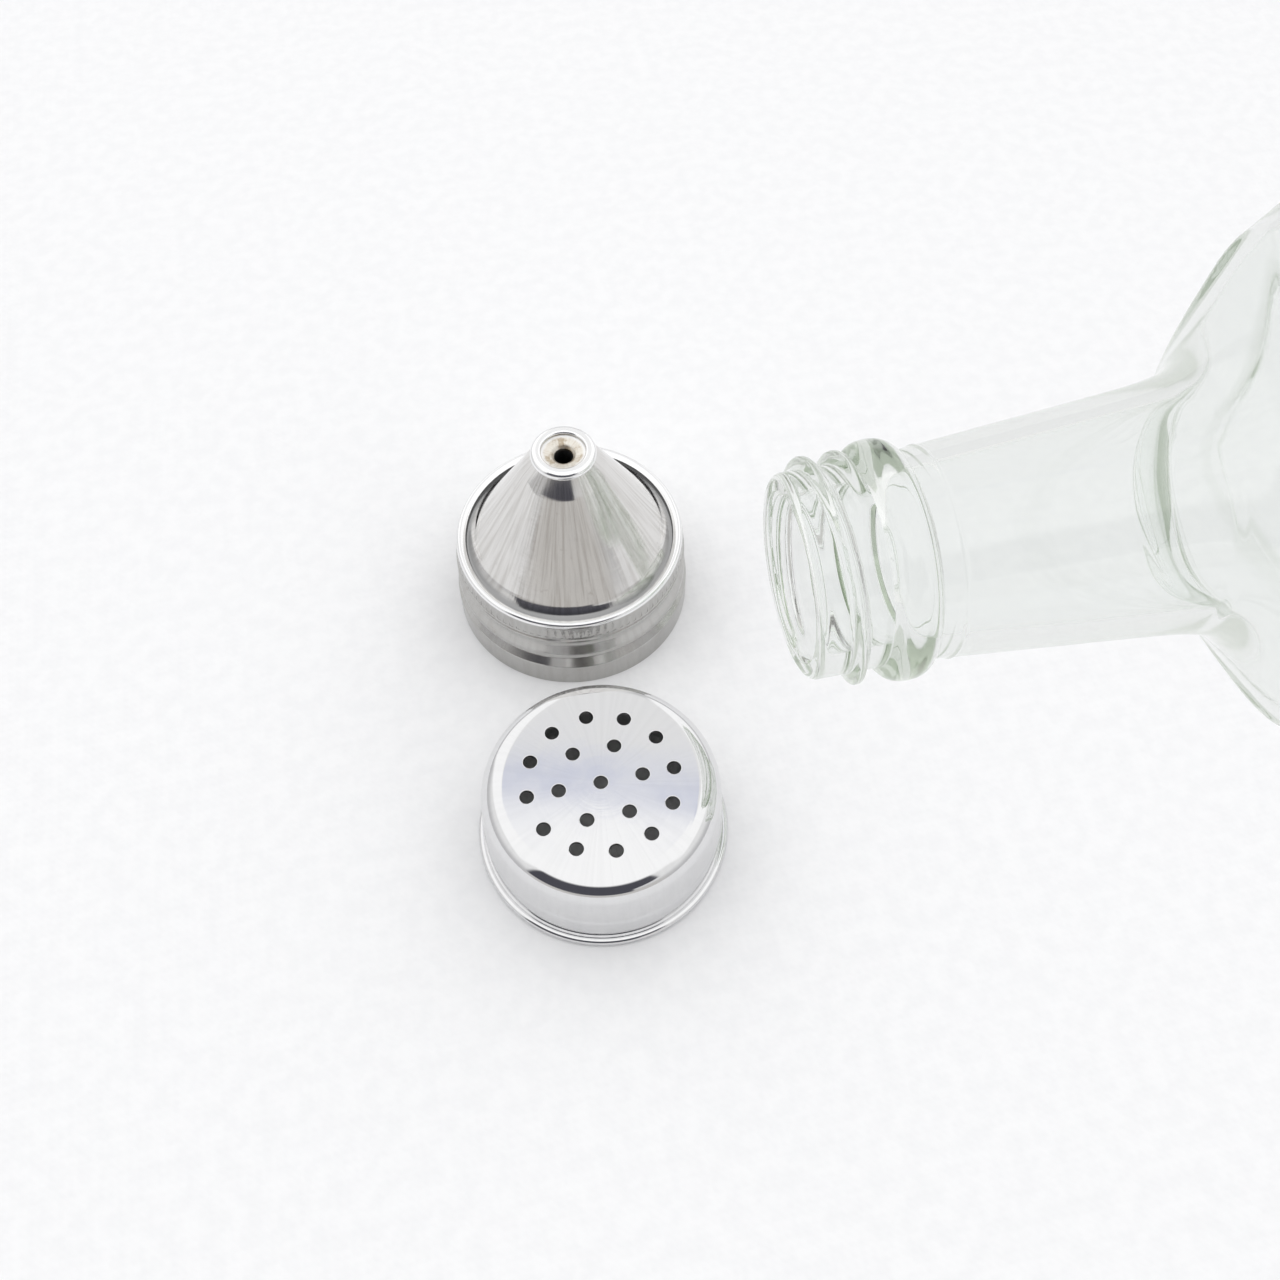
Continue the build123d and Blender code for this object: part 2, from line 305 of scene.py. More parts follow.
def mouldedMaterial(name):
    look = mouldedLooks[name]
    material, tree, shader, place = newMaterial(name)
    marks = addNode(tree, "ShaderNodeGroup", node_tree=mouldGrain)
    tree.links.new(place, marks.inputs["Vector"])
    marks.inputs["Grain Scale"].default_value = look["grain"]
    dull = rampNode(tree, marks.outputs["Dull"], mouldedWear["dullSpan"])
    colour = mixColour(tree, dull, (*look["tint"], 1), (*look["shade"], 1))
    roughest = look["rough"] + mouldedWear["roughSpread"]
    rough = rampNode(tree, marks.outputs["Dull"], mouldedWear["roughSpan"], look["rough"], roughest)
    bump = addNode(tree, "ShaderNodeBump", {
        "Height": marks.outputs["Height"], "Strength": mouldedWear["bump"], "Distance": mouldedWear["depth"],
    })
    tree.links.new(colour, shader.inputs["Base Color"])
    tree.links.new(rough, shader.inputs["Roughness"])
    tree.links.new(bump.outputs[0], shader.inputs["Normal"])
    shader.inputs["Subsurface Weight"].default_value = mouldedWear["softLight"]
    shader.inputs["Subsurface Scale"].default_value = mm
    return material


linerPlastic = mouldedMaterial("linerPlastic")
gasketSilicone = mouldedMaterial("gasketSilicone")
print("materials made:", len(bpy.data.materials))


# mesh tools

# a bent line in the upright plane, from corners given as (radius, height, cut-back of the bend)
def drawLine(bm, corners, segments=4):
    verts = [bm.verts.new((radius, 0, height)) for radius, height, cut in corners]
    for pair in zip(verts, verts[1:]):
        bm.edges.new(pair)
    for vert, (radius, height, cut) in zip(verts, corners):
        if cut:
            bmesh.ops.bevel(bm, geom=[vert], offset=cut, offset_type="OFFSET", segments=segments,
                            profile=0.5, affect="VERTICES", material=-1)


def spinRound(bm, steps):
    bmesh.ops.spin(bm, geom=bm.verts[:] + bm.edges[:], cent=(0, 0, 0), axis=(0, 0, 1), angle=2 * math.pi,
                   steps=steps, use_merge=True, use_duplicate=False)
    bmesh.ops.remove_doubles(bm, verts=bm.verts[:], dist=1e-4)


def outwards(bm):
    bmesh.ops.recalc_face_normals(bm, faces=bm.faces[:])


# a level face is shaded flat, because smooth shading would streak its long triangles
levelNormal = 0.99999


# millimetres round the piece's own axis become metres in the frame
def finishPiece(bm, name, material, place, body, replaced, sharp=35):
    bmesh.ops.transform(bm, matrix=Matrix.Translation(place) @ Matrix.Scale(mm, 4), verts=bm.verts[:])
    bm.normal_update()
    for face in bm.faces:
        face.smooth = abs(face.normal.z) < levelNormal
    for edge in bm.edges:
        if edge.is_manifold and edge.calc_face_angle(0) > math.radians(sharp):
            edge.smooth = False
    mesh = bpy.data.meshes.new(name)
    bm.to_mesh(mesh)
    bm.free()
    mesh.materials.append(material)
    piece = bpy.data.objects.new(name, mesh)
    bpy.context.scene.collection.objects.link(piece)
    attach(piece, body)
    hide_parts(*replaced)
    print(name, "faces:", len(mesh.polygons))
    return piece


def placeSheet(bm, name, material, foot, body, replaced):
    return finishPiece(bm, name, material, foot, body, replaced)


# the bottle, drawn from base to mouth and back inside; places are counted from the mouth

bottle = {
    "length": (bottleHigh.x - bottleLow.x) / mm, "half": (bottleHigh.z - bottleLow.z) / 2 / mm,
    "corner": 13.0, "shoulderStart": 62.0, "shoulderHalf": 25.5, "shoulderCorner": 10.5, "shoulderEnd": 79.0,
    "neckStart": 14.0, "neckRadius": 12.3, "neckSlope": 0.088, "flarePlace": 53.2, "flareSlope": 2.2,
    "flareSoft": 2.2, "neckAlone": 48.0, "heel": 6.0, "punt": 17.0, "puntDepth": 2.5, "baseGlass": 5.0,
    "mouthRadius": 12.1, "lip": 0.9, "beadPlace": 11.2, "beadHalf": 2.65, "beadRadius": 14.2,
    "beadFlat": 2.4, "beadRound": 0.46, "ringPlace": 16.6, "ringHigh": 0.16, "ringHalf": 0.35,
    "threadRadius": 13.55, "pitch": 3.9, "threadFirst": 1.9, "threadTurns": 1.45, "threadHalf": 0.98,
    "threadCrest": 0.2, "threadRunOut": 0.06, "threadFade": 0.1, "neckWall": 2.6, "wall": 3.0,
    "innerLean": 1.8, "innerHeel": 6.0, "innerCorner": 4.0, "mouthFlare": 0.5, "mouthFlareDeep": 0.8,
    "wallStart": 40.0, "wallSpread": 20.0, "bendOut": 1.2, "joinOut": 0.9, "bendIn": 4.0, "joinIn": 3.0,
    "segments": 240,
}


def softMin(first, second, blend):
    near = max(blend - abs(first - second), 0) / blend
    return min(first, second) - near * near * blend / 4


def softStep(value):
    value = min(max(value, 0), 1)
    return value * value * (3 - 2 * value)


# distance from the axis to a square with round corners, in the direction of turn
def squareReach(turn, half, corner):
    wide, narrow = sorted((abs(math.cos(turn)), abs(math.sin(turn))), reverse=True)
    straight = half - corner
    if half * narrow / wide <= straight:
        return half / wide
    both = (wide + narrow) * straight
    return both + math.sqrt(both * both - 2 * straight * straight + corner * corner)


def neckReach(place):
    spread = (place - bottle["flarePlace"]) / bottle["flareSoft"]
    flare = bottle["flareSlope"] * bottle["flareSoft"] * math.log1p(math.exp(spread))
    return bottle["neckRadius"] + bottle["neckSlope"] * (place - bottle["neckStart"]) + flare


def bodyReach(turn, place, inset, blend):
    share = (place - bottle["shoulderStart"]) / (bottle["shoulderEnd"] - bottle["shoulderStart"])
    slope = bottle["shoulderHalf"] + share * (bottle["half"] - bottle["shoulderHalf"])
    half = softMin(slope, bottle["half"], blend)
    corner = bottle["shoulderCorner"] + min(share, 1) * (bottle["corner"] - bottle["shoulderCorner"])
    corner = max(corner - inset, 1.0)
    return squareReach(turn, half - inset, corner)


# ridge of the thread, faded at both ends of its run
def threadHeight(turn, place):
    ridge = bottle["threadRadius"] - bottle["mouthRadius"]
    runOut, fade, crest = bottle["threadRunOut"], bottle["threadFade"], bottle["threadCrest"]
    best = 0.0
    for lap in range(-1, 3):
        run = turn / (2 * math.pi) + lap
        if -runOut < run < bottle["threadTurns"] + runOut:
            middle = bottle["threadFirst"] + bottle["pitch"] * run
            off = abs(place - middle) / bottle["threadHalf"]
            ends = softStep((run + runOut) / fade) * softStep((bottle["threadTurns"] + runOut - run) / fade)
            best = max(best, ridge * ends * (1 - softStep((off - crest) / (1 - crest))))
    return best


# lip, thread and bead
def finishReach(turn, place):
    lip = max(bottle["lip"] - place, 0)
    reach = bottle["mouthRadius"] - bottle["lip"] + math.sqrt(bottle["lip"] ** 2 - lip ** 2)
    reach += threadHeight(turn, place)
    if place > bottle["beadPlace"]:
        reach = neckReach(max(place, bottle["neckStart"]))
    bump = abs(place - bottle["beadPlace"]) / bottle["beadHalf"]
    if bump < 1:
        rise = bottle["beadRadius"] - bottle["mouthRadius"]
        share = (1 - bump ** bottle["beadFlat"]) ** bottle["beadRound"]
        reach = max(reach, bottle["mouthRadius"] + rise * share)
    return reach


def outsideReach(turn, place):
    if place < bottle["neckStart"] + 0.4:
        return finishReach(turn, place)
    ring = max(1 - abs(place - bottle["ringPlace"]) / bottle["ringHalf"], 0)
    neck = neckReach(place) + bottle["ringHigh"] * softStep(ring)
    if place < bottle["neckAlone"]:
        return neck
    return softMin(neck, bodyReach(turn, place, 0, bottle["bendOut"]), bottle["joinOut"])


def insideReach(turn, place):
    if place < bottle["neckStart"]:
        flare = bottle["mouthFlare"] * softStep(1 - place / bottle["mouthFlareDeep"])
        return bottle["neckRadius"] - bottle["neckWall"] + flare
    share = softStep((place - bottle["wallStart"]) / bottle["wallSpread"])
    inset = bottle["neckWall"] + (bottle["wall"] - bottle["neckWall"]) * share
    neck = neckReach(place - bottle["innerLean"] * share) - inset
    if place < bottle["neckAlone"]:
        return neck
    # the inside of blown glass waves a little
    ripple = 0.12 * math.sin(3 * turn + place / 9) + 0.1 * math.sin(2 * turn - place / 6)
    body = bodyReach(turn, place, bottle["wall"], bottle["bendIn"])
    return softMin(neck, body, bottle["joinIn"]) + ripple


# places of the rings along the axis, from runs given as (start, end, step)
def runPlaces(runs):
    places = []
    for start, end, step in runs:
        count = max(round(abs(end - start) / step), 1)
        places += [start + (end - start) * n / count for n in range(count)]
    return places


# a ring is its place and its reach as a function of turn; these go from the base to the mouth
def outsideRings():
    length, half, corner, heel = (bottle[name] for name in ("length", "half", "corner", "heel"))
    punt, puntDepth, lip = bottle["punt"], bottle["puntDepth"], bottle["lip"]
    ball = (punt ** 2 + puntDepth ** 2) / (2 * puntDepth)
    rings = []
    for n in range(1, 15):
        radius = punt * n / 14
        depth = puntDepth - ball + math.sqrt(ball ** 2 - radius ** 2)
        rings.append((length - depth, lambda turn, r=radius: r))
    for n in range(1, 6):
        rings.append((length, lambda turn, s=n / 5: punt + s * (
            squareReach(turn, half - heel, corner - heel) - punt)))
    for n in range(1, 10):
        bend = math.pi / 2 * n / 9
        inset = heel * (1 - math.sin(bend))
        rings.append((length - heel * (1 - math.cos(bend)),
                      lambda turn, i=inset: squareReach(turn, half - i, corner - i)))
    places = runPlaces([
        (length - heel - 1, 84, 3.2), (84, 76, 0.8), (76, 64, 1.5), (64, 47, 0.5), (47, 18, 1.6),
        (18, 15.4, 0.15), (15.4, 14, 0.35), (14, 8.4, 0.22), (8.4, 0.9, 0.2),
    ])
    places += [lip * (1 - math.sin(math.pi / 2 * n / 8)) for n in range(8)]
    rings += [(place, lambda turn, p=place: outsideReach(turn, p)) for place in places]
    return rings


# from the mouth to the inside of the base
def insideRings(base):
    half, corner, wall, heel = (bottle[name] for name in ("half", "corner", "wall", "innerHeel"))
    least = bottle["innerCorner"]
    rings = [(0.0, lambda turn: bottle["mouthRadius"] - bottle["lip"])]
    places = runPlaces([
        (0.0, 0.8, 0.1), (0.8, 14, 1.1), (14, 46, 2), (46, 70, 0.75), (70, 90, 1.2), (90, base - 7, 3.5),
    ])
    rings += [(place, lambda turn, p=place: insideReach(turn, p)) for place in places]
    for n in range(9):
        bend = math.pi / 2 * n / 8
        inset = wall + heel * (1 - math.cos(bend))
        rings.append((base - heel * (1 - math.sin(bend)),
                      lambda turn, i=inset: squareReach(turn, half - i, max(corner - i, least))))
    for n in range(9, 0, -1):
        rings.append((base, lambda turn, s=n / 10: s * squareReach(turn, half - wall - heel, least)))
    return rings


def makeBottle():
    bm = bmesh.new()
    puntTop = (0, 0, bottle["length"] - bottle["puntDepth"])
    base = bottle["length"] - bottle["baseGlass"]
    start = bmesh.ops.create_circle(bm, segments=bottle["segments"], radius=0.4, cap_ends=False,
                                    matrix=Matrix.Translation(puntTop))
    firstRing = lastRing = start["verts"]
    edges = list({edge for vert in firstRing for edge in vert.link_edges})
    for place, reach in outsideRings() + insideRings(base):
        made = bmesh.ops.extrude_edge_only(bm, edges=edges)["geom"]
        lastRing = [item for item in made if isinstance(item, bmesh.types.BMVert)]
        edges = [item for item in made if isinstance(item, bmesh.types.BMEdge) and item.is_boundary]
        for vert in lastRing:
            turn = math.atan2(vert.co.y, vert.co.x)
            far = reach(turn)
            vert.co = (far * math.cos(turn), far * math.sin(turn), place)
    bmesh.ops.pointmerge(bm, verts=firstRing, merge_co=puntTop)
    bmesh.ops.pointmerge(bm, verts=lastRing, merge_co=(0, 0, base))
    outwards(bm)
    # the bottle lies along +X, with its mouth to -X
    bmesh.ops.transform(bm, matrix=Matrix.Rotation(math.pi / 2, 4, "Y"), verts=bm.verts[:])
    piece = finishPiece(bm, "glassBottle", bottleGlass, mouth, "bottle", ["bottle"], sharp=60)
    # clear glass throws almost no shadow
    piece.visible_shadow = False
    piece.visible_diffuse = False


makeBottle()


# screw collar of the pourer, from its foot up to the rolled rim that holds the cone down
# roll: the rim's points as (distance in from the band, distance below the top, cut-back of the bend)

collar = {
    "sheet": 0.25, "foot": 16.0, "footRows": (0, 1.3, 2.6), "footHigh": 3.9, "bead": 15.75, "groove": 15.1,
    "waist": (4.95, 5.2), "lowBead": (5.85, 6.85), "grooveSpan": (8.0, 8.9), "highBead": 9.7,
    "band": 15.35, "bandStart": 10.2, "bandRows": (10.45, 10.7, 11.0, 11.3, 11.6, 11.9),
    "top": collarHigh.z / mm,
    "roll": ((0, 0.6, 0.1), (0.2, 0.12, 0.2), (0.55, 0, 0.2), (0.9, 0.1, 0.2), (1.28, 0.34, 0)),
    "ribs": 96, "ribSpan": (10.35, 12.1), "ribHigh": 0.1, "ribSoft": 0.25, "ribValley": -0.2, "steps": 576,
}


def makeCollar():
    bm = bmesh.new()
    foot, bead, groove, band, top = (collar[name] for name in ("foot", "bead", "groove", "band", "top"))
    corners = [(foot, height, 0) for height in collar["footRows"]]
    corners += [
        (foot, collar["footHigh"], 0.15),
        (groove, collar["waist"][0], 0.12), (groove, collar["waist"][1], 0.12),
        (bead, collar["lowBead"][0], 0.35), (bead, collar["lowBead"][1], 0.25),
        (groove, collar["grooveSpan"][0], 0.25), (groove, collar["grooveSpan"][1], 0.25),
        (bead, collar["highBead"], 0.3), (band, collar["bandStart"], 0.15),
    ]
    corners += [(band, height, 0) for height in collar["bandRows"]]
    corners += [(band - inward, top - below, cut) for inward, below, cut in collar["roll"]]
    drawLine(bm, corners)
    spinRound(bm, collar["steps"])
    low, high = collar["ribSpan"]
    for vert in bm.verts:
        rise = softStep((vert.co.z - low) / collar["ribSoft"])
        across = rise * softStep((high - vert.co.z) / collar["ribSoft"])
        if across > 0:
            turn = math.atan2(vert.co.y, vert.co.x)
            rib = collar["ribHigh"] * across * max(math.cos(turn * collar["ribs"]), collar["ribValley"])
            reach = math.hypot(vert.co.x, vert.co.y)
            vert.co.x *= (reach + rib) / reach
            vert.co.y *= (reach + rib) / reach
    outwards(bm)
    bmesh.ops.solidify(bm, geom=bm.faces[:], thickness=collar["sheet"])
    return bm


placeSheet(makeCollar(), "pourerCollar", collarSteel, pourerFoot, "pourer_collar", ["pourer_collar"])


# cone and spout of the pourer; spread: how far out and down the flatter stretch under the lip reaches

cone = {
    "sheet": 0.45, "foot": coneLow.z / mm, "top": coneHigh.z / mm, "flange": 14.3, "footRadius": 13.3,
    "footBend": 1.5, "spread": (1.6, 2.3), "spout": 4.2, "rollProud": 0.45, "rollHigh": 1.15,
    "rollBend": 0.75, "lip": 1.35, "lipDrop": 0.5, "steps": 192,
}


def makeCone():
    bm = bmesh.new()
    low, high, spout = cone["foot"] + cone["sheet"], cone["top"], cone["spout"]
    neck, roll = spout - cone["rollProud"], high - cone["rollHigh"]
    drawLine(bm, [
        (cone["flange"], low, 0), (cone["footRadius"], low, cone["footBend"]),
        (neck + cone["spread"][0], roll - cone["spread"][1], 0.3), (neck, roll - 0.1, 0.15),
        (spout, roll + 0.2, 0.3), (spout, high, cone["rollBend"]), (spout - cone["lip"], high, 0.3),
        (spout - cone["lip"] - 0.1, high - cone["lipDrop"], 0),
    ], segments=8)
    spinRound(bm, cone["steps"])
    outwards(bm)
    bmesh.ops.solidify(bm, geom=bm.faces[:], thickness=cone["sheet"])
    return bm


placeSheet(makeCone(), "pouringCone", coneSteel, pourerFoot, "pourer_cone", ["pouring_cone"])

nozzle = {
    "top": nozzleHigh.z / mm, "low": nozzleLow.z / mm, "outer": (nozzleHigh.x - nozzleLow.x) / 2 / mm,
    "hole": 1.22, "wall": 0.7, "funnel": 0.45, "funnelWide": 0.35, "chamfer": 0.4, "steps": 96,
}


def makeNozzle():
    bm = bmesh.new()
    top, low, outer, chamfer = (nozzle[name] for name in ("top", "low", "outer", "chamfer"))
    hole, stem, seat = nozzle["hole"], nozzle["hole"] + nozzle["wall"], top - nozzle["funnel"]
    drawLine(bm, [
        (hole, low, 0), (stem, low, 0.1), (stem, seat - nozzle["wall"], 0.2), (outer, seat - chamfer, 0.1),
        (outer, top - chamfer, 0.1), (outer - chamfer, top, 0.1), (outer - nozzle["wall"], top, 0.25),
        (hole + nozzle["funnelWide"], seat + 0.1, 0.2), (hole, seat - 0.3, 0), (hole, low, 0),
    ])
    spinRound(bm, nozzle["steps"])
    outwards(bm)
    return bm


placeSheet(makeNozzle(), "spoutNozzle", nozzleSteel, pourerFoot, "pourer_cone", ["spout_nozzle"])


# shaker cap; holeRings: the number of holes on each ring, and its radius

shaker = {
    "sheet": 0.45, "skirt": 15.3, "radius": 14.65, "top": shakerHigh.z / mm, "edge": 2.7, "hemHalf": 0.56,
    "hemRadius": (shakerHigh.x - shakerLow.x) / 2 / mm, "hemGap": 0.15, "swageHigh": 5.4, "swageHalf": 0.2,
    "swage": 0.1, "hole": 0.87, "holeEdge": 0.1, "holeRings": ((12, 9.12), (6, 5.2), (1, 0.0)), "steps": 192,
}


# the side of the cap and the start of its face
def drawShakerSide(bm):
    skirt, upper, top, swage = (shaker[name] for name in ("skirt", "radius", "top", "swage"))
    high, half = shaker["swageHigh"], shaker["swageHalf"]
    middle = skirt + (upper - skirt) * high / top
    drawLine(bm, [
        (skirt, shaker["hemGap"], 0), (middle + swage, high - half, 0.1), (middle, high + half, 0.1),
        (upper, top, shaker["edge"]), (upper - shaker["edge"] - 0.3, top, 0),
    ], segments=12)
    spinRound(bm, shaker["steps"])


# rolled hem at the foot, a closed ring of its own
def addHem(bm):
    hem = bmesh.new()
    half = shaker["hemHalf"]
    bmesh.ops.create_circle(hem, segments=20, radius=half, cap_ends=False,
                            matrix=Matrix.Translation((shaker["hemRadius"] - half, 0, half))
                            @ Matrix.Rotation(math.pi / 2, 4, "X"))
    spinRound(hem, shaker["steps"])
    outwards(hem)
    hemMesh = bpy.data.meshes.new("hem")
    hem.to_mesh(hemMesh)
    hem.free()
    bm.from_mesh(hemMesh)
    bpy.data.meshes.remove(hemMesh)


def makeShaker():
    bm = bmesh.new()
    drawShakerSide(bm)
    top = shaker["top"]
    nearTop = top - 0.01
    rim = [edge for edge in bm.edges if edge.is_boundary and edge.verts[0].co.z > nearTop]
    for count, ring in shaker["holeRings"]:
        for n in range(count):
            turn = 2 * math.pi * n / count
            place = (ring * math.cos(turn), ring * math.sin(turn), top)
            circle = bmesh.ops.create_circle(bm, segments=32, radius=shaker["hole"], cap_ends=False,
                                             matrix=Matrix.Translation(place))["verts"]
            rim += list({edge for vert in circle for edge in vert.link_edges})
    bmesh.ops.triangle_fill(bm, edges=rim, use_beauty=True, use_dissolve=False, normal=(0, 0, 1))
    outwards(bm)
    bmesh.ops.solidify(bm, geom=bm.faces[:], thickness=shaker["sheet"])
    bmesh.ops.dissolve_limit(bm, angle_limit=0.002, verts=bm.verts[:], edges=bm.edges[:])
    # punched edges of the holes, a little rounded
    edges = [edge for edge in bm.edges if edge.is_manifold and edge.calc_face_angle(0) > math.radians(60)
             and all(nearTop < vert.co.z for vert in edge.verts)]
    bmesh.ops.bevel(bm, geom=edges, offset=shaker["holeEdge"], offset_type="OFFSET", segments=2, profile=0.5,
                    affect="EDGES", material=-1)
    addHem(bm)
    return bm


placeSheet(makeShaker(), "shakerCap", shakerSteel, shakerFoot, "shaker_cap", ["shaker_cap"])

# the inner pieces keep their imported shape

for nodeName, material in (("pourer_thread_ring", linerPlastic), ("shaker_thread_ring", linerPlastic),
                           ("pourer_gasket", gasketSilicone)):
    slots = nodes[nodeName].data.materials
    slots.clear()
    slots.append(material)
print("pieces made")


# table, camera and light

table = {
    "size": 4.0, "drop": 0.02 * mm, "colour": (0.82, 0.822, 0.83), "slub": (0.85, 0.851, 0.857),
    "weaveScale": 287.5, "slubScale": 420.0, "slubSpan": (0.3, 0.7), "bump": 0.12, "depth": 0.12 * mm,
}


def weaveMaterial():
    material, tree, shader, place = newMaterial("tableWeave")
    threads = [addNode(tree, "ShaderNodeTexWave", {
        "Vector": place, "Scale": table["weaveScale"], "Distortion": 1.2, "Detail": 2.0, "Detail Scale": 1.5,
    }, bands_direction=way).outputs["Fac"] for way in ("X", "Y")]
    slub = noiseNode(tree, place, table["slubScale"], 5.0)
    height = mathNode(tree, "ADD", product(tree, *threads), slub)
    bump = addNode(tree, "ShaderNodeBump", {
        "Height": height, "Strength": table["bump"], "Distance": table["depth"],
    })
    share = rampNode(tree, slub, table["slubSpan"])
    colour = mixColour(tree, share, (*table["colour"], 1), (*table["slub"], 1))
    tree.links.new(colour, shader.inputs["Base Color"])
    tree.links.new(bump.outputs[0], shader.inputs["Normal"])
    shader.inputs["Roughness"].default_value = 1.0
    shader.inputs["Specular IOR Level"].default_value = 0.1
    return material


def makeTable():
    bm = bmesh.new()
    bmesh.ops.create_grid(bm, x_segments=1, y_segments=1, size=table["size"] / 2,
                          matrix=Matrix.Translation((0, 0, -table["drop"])))
    mesh = bpy.data.meshes.new("tableCloth")
    bm.to_mesh(mesh)
    bm.free()
    floor = bpy.data.objects.new("tableCloth", mesh)
    bpy.context.scene.collection.objects.link(floor)
    mesh.materials.append(weaveMaterial())


makeTable()

# millimetres from the point of the table below the mouth, and degrees for the roll
camera = {
    "place": Vector((-36.16, -84.92, 166.76)), "target": Vector((-14.37, 15.36, 0.0)), "roll": -0.24,
    "lens": 39.375, "sensor": 36.0, "nearest": 0.01,
}


def aimAt(place, target):
    return (target - place).to_track_quat("-Z", "Y").to_matrix().to_4x4()


def makeCamera():
    data = bpy.data.cameras.new("camera")
    data.lens = camera["lens"]
    data.sensor_width = camera["sensor"]
    data.clip_start = camera["nearest"]
    view = bpy.data.objects.new("camera", data)
    bpy.context.scene.collection.objects.link(view)
    base = Vector((mouth.x, 0, 0))
    place, target = base + camera["place"] * mm, base + camera["target"] * mm
    roll = Matrix.Rotation(math.radians(camera["roll"]), 4, "Z")
    view.matrix_world = Matrix.Translation(place) @ aimAt(place, target) @ roll
    bpy.context.scene.camera = view
    return place, target


cameraPlace, cameraTarget = makeCamera()

# spans of the room: high runs from 0 at the horizon to 1 overhead, side from -1 to 1,
# and the left and right ends are bearings in radians, 0 towards the camera
studio = {
    "strength": 0.87, "backdrop": 0.97, "throughGlass": (1.13, 1.13, 1.125), "glassShare": 0.78,
    "ceiling": (1.1, 1.1, 1.1), "wall": (0.72, 0.72, 0.73), "wallHigh": (0.5, 0.1),
    "bright": (1.75, 1.75, 1.75), "mirrored": (1.38, 1.38, 1.38), "panelHigh": (0.904, 0.912),
    "panelTilt": 0.06,
    "haze": (0.88, 0.91, 1.05), "hazeHigh": (0.89, 0.897), "farSide": (0.05, -0.15),
    "nearSide": (0.0, 0.1), "nearHigh": (0.7, 0.85),
    "windowIn": (0.2, 0.26), "windowOut": (0.8, 0.72), "windowSide": (0.4, 0.25), "windowHigh": (0.1, 0.2),
    "shade": (0.74, 0.72, 0.7), "shadeLeft": (-1.1, -0.7), "shadeRight": (1.0, 0.6), "shadeHigh": (0.3, 0.2),
    "dark": (0.1, 0.1, 0.12), "darkLeft": (-1.0, -0.92), "darkRight": (0.42, 0.77), "darkSlope": (0.3, 0.45),
    "darkSoft": (0.0, 0.06), "darkTop": (0.84, 0.74), "darkFoot": (0.17, 0.19),
}


def roomRamp(tree, value, name):
    return rampNode(tree, value, studio[name])


# ceiling and walls, with the grey-blue edge of the overhead panel on the side away from the camera
def wallColour(tree, side, level):
    high = side["Z"]
    colour = mixColour(tree, roomRamp(tree, high, "wallHigh"), (*studio["ceiling"], 1), (*studio["wall"], 1))
    edge = product(tree, roomRamp(tree, level, "hazeHigh"), roomRamp(tree, side["X"], "farSide"))
    return mixColour(tree, edge, colour, (*studio["haze"], 1))


# the overhead panel, and two windows left and right beyond the pieces
def brightShare(tree, side, level):
    high = side["Z"]
    panel = roomRamp(tree, level, "panelHigh")
    nearPanel = product(tree, roomRamp(tree, side["X"], "nearSide"), roomRamp(tree, high, "nearHigh"))
    beside = mathNode(tree, "ABSOLUTE", side["Y"])
    window = product(tree, roomRamp(tree, beside, "windowIn"), roomRamp(tree, beside, "windowOut"),
                     roomRamp(tree, side["X"], "windowSide"), roomRamp(tree, high, "windowHigh"))
    return mathNode(tree, "MAXIMUM", mathNode(tree, "MAXIMUM", panel, nearPanel), window)


# behind the camera: a pale band low down, with a dark shape above it
def behindCamera(tree, colour, side):
    high = side["Z"]
    bearing = mathNode(tree, "ARCTAN2", side["Y"], side["X"])
    rightEnd = rampNode(tree, high, studio["darkSlope"], *studio["darkRight"])
    rightShare = roomRamp(tree, mathNode(tree, "SUBTRACT", rightEnd, bearing), "darkSoft")
    inside = product(tree, roomRamp(tree, bearing, "darkLeft"), rightShare)
    dark = product(tree, roomRamp(tree, high, "darkTop"), roomRamp(tree, high, "darkFoot"), inside)
    band = product(tree, roomRamp(tree, bearing, "shadeLeft"), roomRamp(tree, bearing, "shadeRight"),
                   roomRamp(tree, high, "shadeHigh"))
    colour = mixColour(tree, band, colour, (*studio["shade"], 1))
    return mixColour(tree, dark, colour, (*studio["dark"], 1))


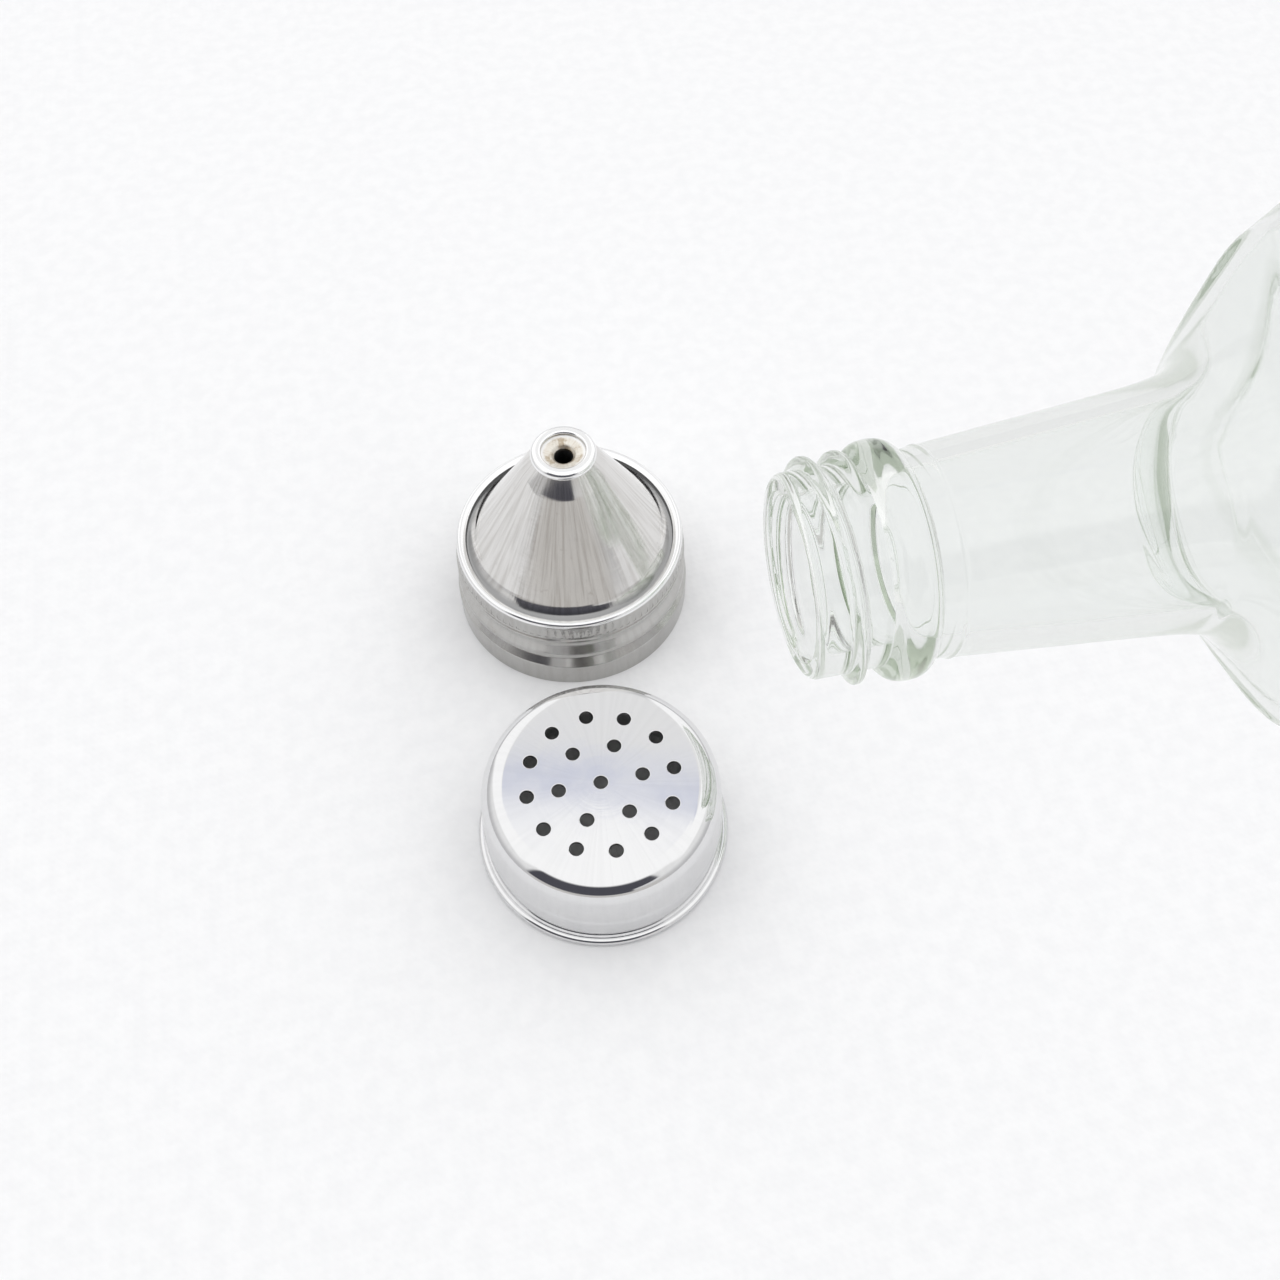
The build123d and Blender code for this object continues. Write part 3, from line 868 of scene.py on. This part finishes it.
def makeWorld():
    world = bpy.data.worlds.new("whiteRoom")
    bpy.context.scene.world = world
    world.use_nodes = True
    tree = world.node_tree
    background = tree.nodes["Background"]
    way = addNode(tree, "ShaderNodeTexCoord").outputs["Generated"]
    toCamera = cameraPlace - cameraTarget
    heading = math.atan2(toCamera.y, toCamera.x)
    turned = addNode(tree, "ShaderNodeVectorRotate", {
        "Vector": way, "Angle": -heading,
    }, rotation_type="Z_AXIS")
    side = addNode(tree, "ShaderNodeSeparateXYZ", {0: turned.outputs[0]}).outputs
    tilt = mathNode(tree, "MULTIPLY", side["Y"], studio["panelTilt"])
    level = mathNode(tree, "SUBTRACT", side["Z"], tilt)
    colour = wallColour(tree, side, level)
    path = addNode(tree, "ShaderNodeLightPath").outputs
    lit = mixColour(tree, path["Is Glossy Ray"], (*studio["bright"], 1), (*studio["mirrored"], 1))
    colour = mixColour(tree, brightShare(tree, side, level), colour, lit)
    colour = behindCamera(tree, colour, side)
    # clear glass gathers the whole pale room
    within = mathNode(tree, "GREATER_THAN", path["Transmission Depth"], 0.5)
    through = mathNode(tree, "MAXIMUM", path["Is Transmission Ray"], within)
    soft = mathNode(tree, "MULTIPLY", through, studio["glassShare"])
    colour = mixColour(tree, soft, colour, (*studio["throughGlass"], 1))
    # a plain white backdrop where the room itself is in view
    white = studio["backdrop"] / studio["strength"]
    colour = mixColour(tree, path["Is Camera Ray"], colour, (white, white, white, 1))
    tree.links.new(colour, background.inputs["Color"])
    background.inputs["Strength"].default_value = studio["strength"]


makeWorld()

softbox = {
    "size": 0.7, "place": Vector((-0.35, 0.25, 0.75)), "aim": Vector((-0.12, 0.0, 0.0)), "power": 0.25,
}


# fills the shadows, and isn't mirrored in steel or seen through glass
def makeSoftbox():
    data = bpy.data.lights.new("softbox", "AREA")
    data.shape = "SQUARE"
    data.size = softbox["size"]
    data.energy = softbox["power"]
    lamp = bpy.data.objects.new("softbox", data)
    bpy.context.scene.collection.objects.link(lamp)
    lamp.matrix_world = Matrix.Translation(softbox["place"]) @ aimAt(softbox["place"], softbox["aim"])
    lamp.visible_glossy = False
    lamp.visible_transmission = False


makeSoftbox()
bpy.context.scene.view_settings.view_transform = "Standard"
print("table, light and camera made")
